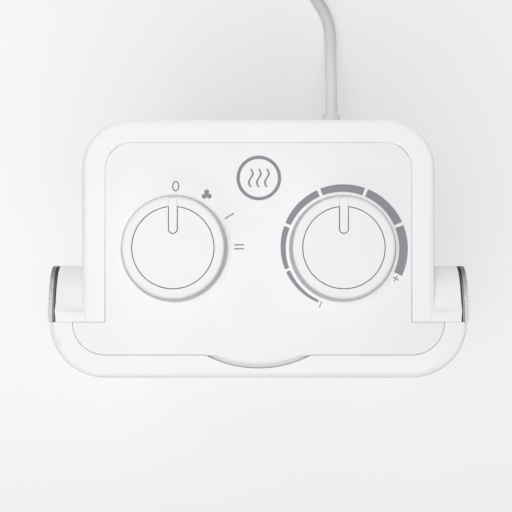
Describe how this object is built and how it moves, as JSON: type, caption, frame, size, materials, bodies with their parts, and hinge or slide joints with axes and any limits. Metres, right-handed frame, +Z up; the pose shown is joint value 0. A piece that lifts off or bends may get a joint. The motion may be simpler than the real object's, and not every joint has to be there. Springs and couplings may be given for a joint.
{
  "type": "ceramic fan heater",
  "caption": "Upright ceramic fan heater with a T-shaped control deck, mode and thermostat knobs, wrapped front frame, side intake grilles, rear hand recess and a coiled power cord.",
  "frame": {"origin": "on the floor, under the middle of the heater's bounding box without its free cord", "axes": "+Z up, the air outlet faces -Y, the cord leaves at the rear towards +Y, +X to the right seen from the front"},
  "size_m": [0.1936, 0.3078, 0.2505],
  "materials": {
    "white_shell": "satin moulded ABS",
    "white_deck": "satin moulded ABS",
    "white_knob": "smooth moulded ABS",
    "dark_grille": "dark grey heat-proof plastic",
    "side_grille": "dark grey plastic",
    "white_grille": "satin moulded ABS",
    "base_grey": "plain moulded plastic",
    "foot_rubber": "soft rubber",
    "switch_ivory": "phenolic and nylon",
    "ceramic_body": "unglazed ceramic",
    "black_plastic": "heat-proof moulding",
    "bright_steel": "bare steel",
    "lamination_steel": "stamped electrical steel",
    "aluminium": "bare folded sheet",
    "stone_grey": "fired PTC ceramic",
    "brass": "bare strip",
    "winding": "varnished copper winding in tape",
    "light_plastic": "plain moulded plastic",
    "wire_blue": "silicone insulation",
    "cord_white": "soft PVC sheath"
  },
  "bodies": {
    "casing": {"front_frame": "white_shell", "front_grille": "dark_grille", "rear_housing": "white_shell", "side_grille_left": "side_grille", "side_grille_right": "side_grille", "rear_grille": "white_grille", "top_deck": "white_deck", "base_plate": "base_grey", "rubber_feet": "foot_rubber", "mode_switch_body": "switch_ivory", "thermostat_body": "ceramic_body", "thermostat_bimetal": "brass", "heater_frame": "black_plastic", "heater_bars": "aluminium", "ceramic_stones": "stone_grey", "heater_fins": "aluminium", "heater_terminals": "brass", "thermal_cutout": "black_plastic", "thermal_fuse": "ceramic_body", "fan_duct": "light_plastic", "motor_spider": "light_plastic", "motor_stator": "lamination_steel", "motor_coil": "winding", "motor_bearings": "bright_steel", "tip_switch_body": "black_plastic", "tip_spring": "bright_steel", "terminal_block": "light_plastic", "wiring": "wire_blue", "casing_screws": "bright_steel", "inner_screws": "bright_steel", "base_screws": "bright_steel", "cord_gland": "cord_white", "power_cord": "cord_white", "power_cord_coil": "cord_white", "power_plug": "cord_white"},
    "mode_knob_set": {"mode_knob": "white_knob", "mode_knob_cap": "white_knob", "mode_switch_shaft": "switch_ivory"},
    "thermostat_knob_set": {"thermostat_knob": "white_knob", "thermostat_knob_cap": "white_knob", "thermostat_spindle": "bright_steel"},
    "fan_rotor": {"fan_impeller": "light_plastic", "motor_shaft": "bright_steel", "motor_rotor": "lamination_steel"},
    "tip_over_plunger": {"tip_plunger": "light_plastic"}
  },
  "joints": [
    {"name": "mode_knob_turn", "type": "hinge", "parent": "casing", "child": "mode_knob_set", "pos_m": [-0.0387, 0, 0.235], "axis": [0, 0, 1], "range_deg": [-90, 0]},
    {"name": "thermostat_knob_turn", "type": "hinge", "parent": "casing", "child": "thermostat_knob_set", "pos_m": [0.0387, 0, 0.235], "axis": [0, 0, 1], "range_deg": [-115, 155]},
    {"name": "fan_spin", "type": "hinge", "parent": "casing", "child": "fan_rotor", "pos_m": [0, -0.018, 0.1195], "axis": [0, 1, 0], "continuous": true},
    {"name": "plunger_slide", "type": "slide", "parent": "casing", "child": "tip_over_plunger", "axis": [0, 0, 1], "range_m": [-0.004, 0], "stiffness_N_per_m": 60, "springref_m": -0.004, "deforming": ["tip_spring"]}
  ]
}
